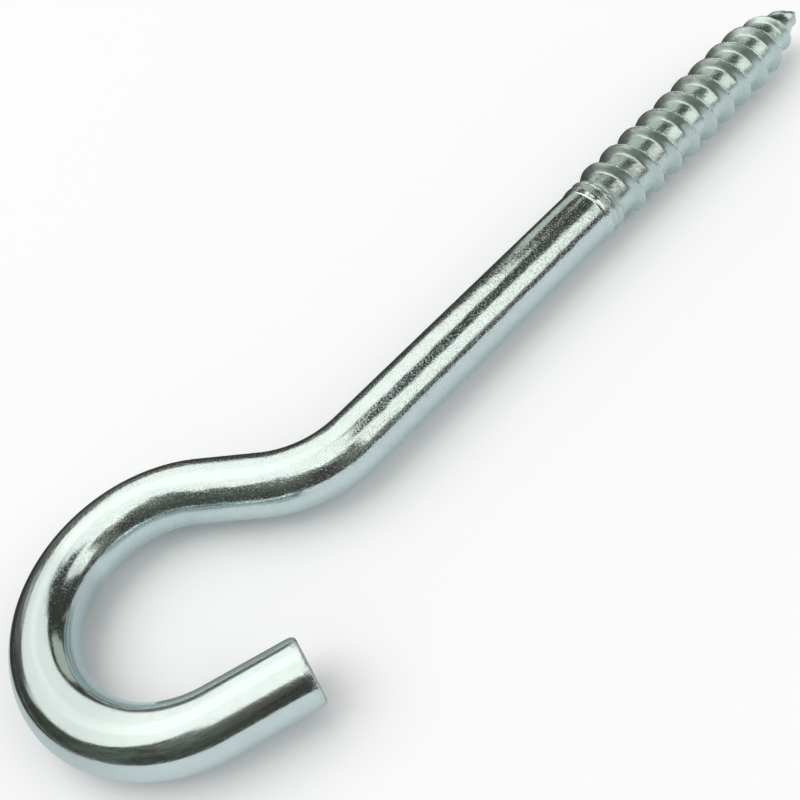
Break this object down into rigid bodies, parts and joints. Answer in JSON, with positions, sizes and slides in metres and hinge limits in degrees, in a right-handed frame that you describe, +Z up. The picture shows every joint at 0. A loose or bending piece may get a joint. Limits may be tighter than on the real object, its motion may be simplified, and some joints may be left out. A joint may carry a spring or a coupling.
{
  "type": "screw hook",
  "caption": "Screw hook bent from one round wire: tapered coarse wood-screw thread, plain shank, offset neck and open ring with a straight open end.",
  "frame": {"origin": "centre of the footprint, on the surface that the hook lies on", "axes": "+X along the screw axis from the tip towards the ring, +Y towards the open end, +Z up, square to the plane of the hook"},
  "size_m": [0.1216, 0.0346, 0.0078],
  "materials": {
    "zinc_plated_steel": "bright zinc plating, glossy with a fine grain"
  },
  "bodies": {
    "root": {"screw_hook": "zinc_plated_steel"}
  },
  "joints": []
}
